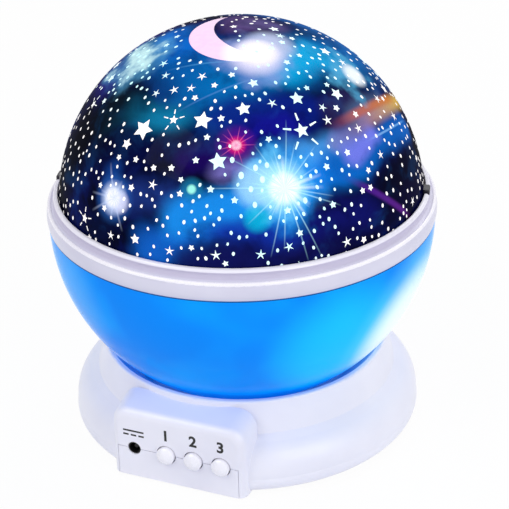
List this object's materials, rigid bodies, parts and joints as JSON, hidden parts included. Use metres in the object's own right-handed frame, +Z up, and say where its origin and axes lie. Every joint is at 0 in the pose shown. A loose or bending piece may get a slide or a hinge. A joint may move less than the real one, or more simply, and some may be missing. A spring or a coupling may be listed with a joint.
{
  "type": "star night light projector",
  "caption": "Round night light projector: a printed star dome on a turning blue bowl, on a white base with push buttons, a power socket and a battery bay.",
  "frame": {"origin": "on the turning axis, on the table surface under the rubber feet", "axes": "+Z up along the turning axis; the control panel faces -Y; +X is to the right of someone who faces the panel"},
  "size_m": [0.1256, 0.1256, 0.1354],
  "materials": {
    "dome_print": "clear moulded plastic with a dark blue night-sky print, glossy",
    "white_shell": "white ABS, semi-gloss",
    "blue_shell": "azure translucent plastic, glossy",
    "white_inner": "white ABS, matt",
    "gear_plastic": "natural acetal, satin",
    "bright_steel": "zinc-plated steel",
    "motor_steel": "plated steel motor can",
    "circuit_board": "green solder mask",
    "black_plastic": "black moulded plastic",
    "wire_skin": "red wire insulation",
    "contact_metal": "nickel-plated spring steel",
    "button_plastic": "white ABS, polished",
    "lens_white": "clear lamp lens",
    "lens_blue": "blue lamp lens",
    "lens_green": "green lamp lens",
    "lens_red": "red lamp lens",
    "cell_jacket": "printed-free dark jacket",
    "foot_rubber": "soft pale rubber"
  },
  "bodies": {
    "base": {"base_housing": "white_shell", "base_bottom": "white_shell", "base_screws": "bright_steel", "led_post": "white_inner", "post_screws": "bright_steel", "thrust_washer": "gear_plastic", "retaining_clip": "bright_steel", "lamp_holder": "white_inner", "led_board": "circuit_board", "led_white": "lens_white", "led_blue": "lens_blue", "led_green": "lens_green", "led_red": "lens_red", "drive_motor": "motor_steel", "motor_screws": "bright_steel", "control_board": "circuit_board", "dc_jack": "black_plastic", "tact_switch_1": "black_plastic", "tact_switch_2": "black_plastic", "tact_switch_3": "black_plastic", "lamp_lead": "wire_skin", "motor_lead": "wire_skin", "battery_lead": "wire_skin", "contact_left_front": "contact_metal", "contact_left_back": "contact_metal", "contact_right_front": "contact_metal", "contact_right_middle": "contact_metal", "contact_right_back": "contact_metal", "battery_cell_1": "cell_jacket", "battery_cell_2": "cell_jacket", "battery_cell_3": "cell_jacket", "battery_cell_4": "cell_jacket", "rubber_foot_1": "foot_rubber", "rubber_foot_2": "foot_rubber", "rubber_foot_3": "foot_rubber", "rubber_foot_4": "foot_rubber"},
    "head": {"bowl": "blue_shell", "collar_ring": "white_shell", "reflector_plate": "white_inner", "reflector_screws": "bright_steel", "hub_gear": "gear_plastic", "gear_screws": "bright_steel"},
    "dome": {"star_dome": "dome_print"},
    "pinion": {"drive_pinion": "gear_plastic", "motor_shaft": "bright_steel"},
    "button_1": {"button_1": "button_plastic"},
    "button_2": {"button_2": "button_plastic"},
    "button_3": {"button_3": "button_plastic"},
    "battery_door": {"battery_door": "white_shell", "door_screw": "bright_steel"}
  },
  "joints": [
    {"name": "head_spin", "type": "hinge", "parent": "base", "child": "head", "pos_m": [0, 0, 0.0225], "axis": [0, 0, 1], "continuous": true},
    {"name": "pinion_spin", "type": "hinge", "parent": "base", "child": "pinion", "pos_m": [0, 0.03, 0.0191], "axis": [0, 0, 1], "continuous": true},
    {"name": "dome_lift", "type": "slide", "parent": "head", "child": "dome", "axis": [0, 0, 1], "range_m": [0, 0.04]},
    {"name": "door_drop", "type": "slide", "parent": "base", "child": "battery_door", "axis": [0, 0, -1], "range_m": [0, 0.03]},
    {"name": "button_1_press", "type": "slide", "parent": "base", "child": "button_1", "axis": [0, 1, 0], "range_m": [0, 0.0008], "stiffness_N_per_m": 600, "springref_m": -0.0004},
    {"name": "button_2_press", "type": "slide", "parent": "base", "child": "button_2", "axis": [0, 1, 0], "range_m": [0, 0.0008], "stiffness_N_per_m": 600, "springref_m": -0.0004},
    {"name": "button_3_press", "type": "slide", "parent": "base", "child": "button_3", "axis": [0, 1, 0], "range_m": [0, 0.0008], "stiffness_N_per_m": 600, "springref_m": -0.0004}
  ],
  "couplings": [
    {"joint": "pinion_spin", "follows": "head_spin", "ratio": -4}
  ]
}
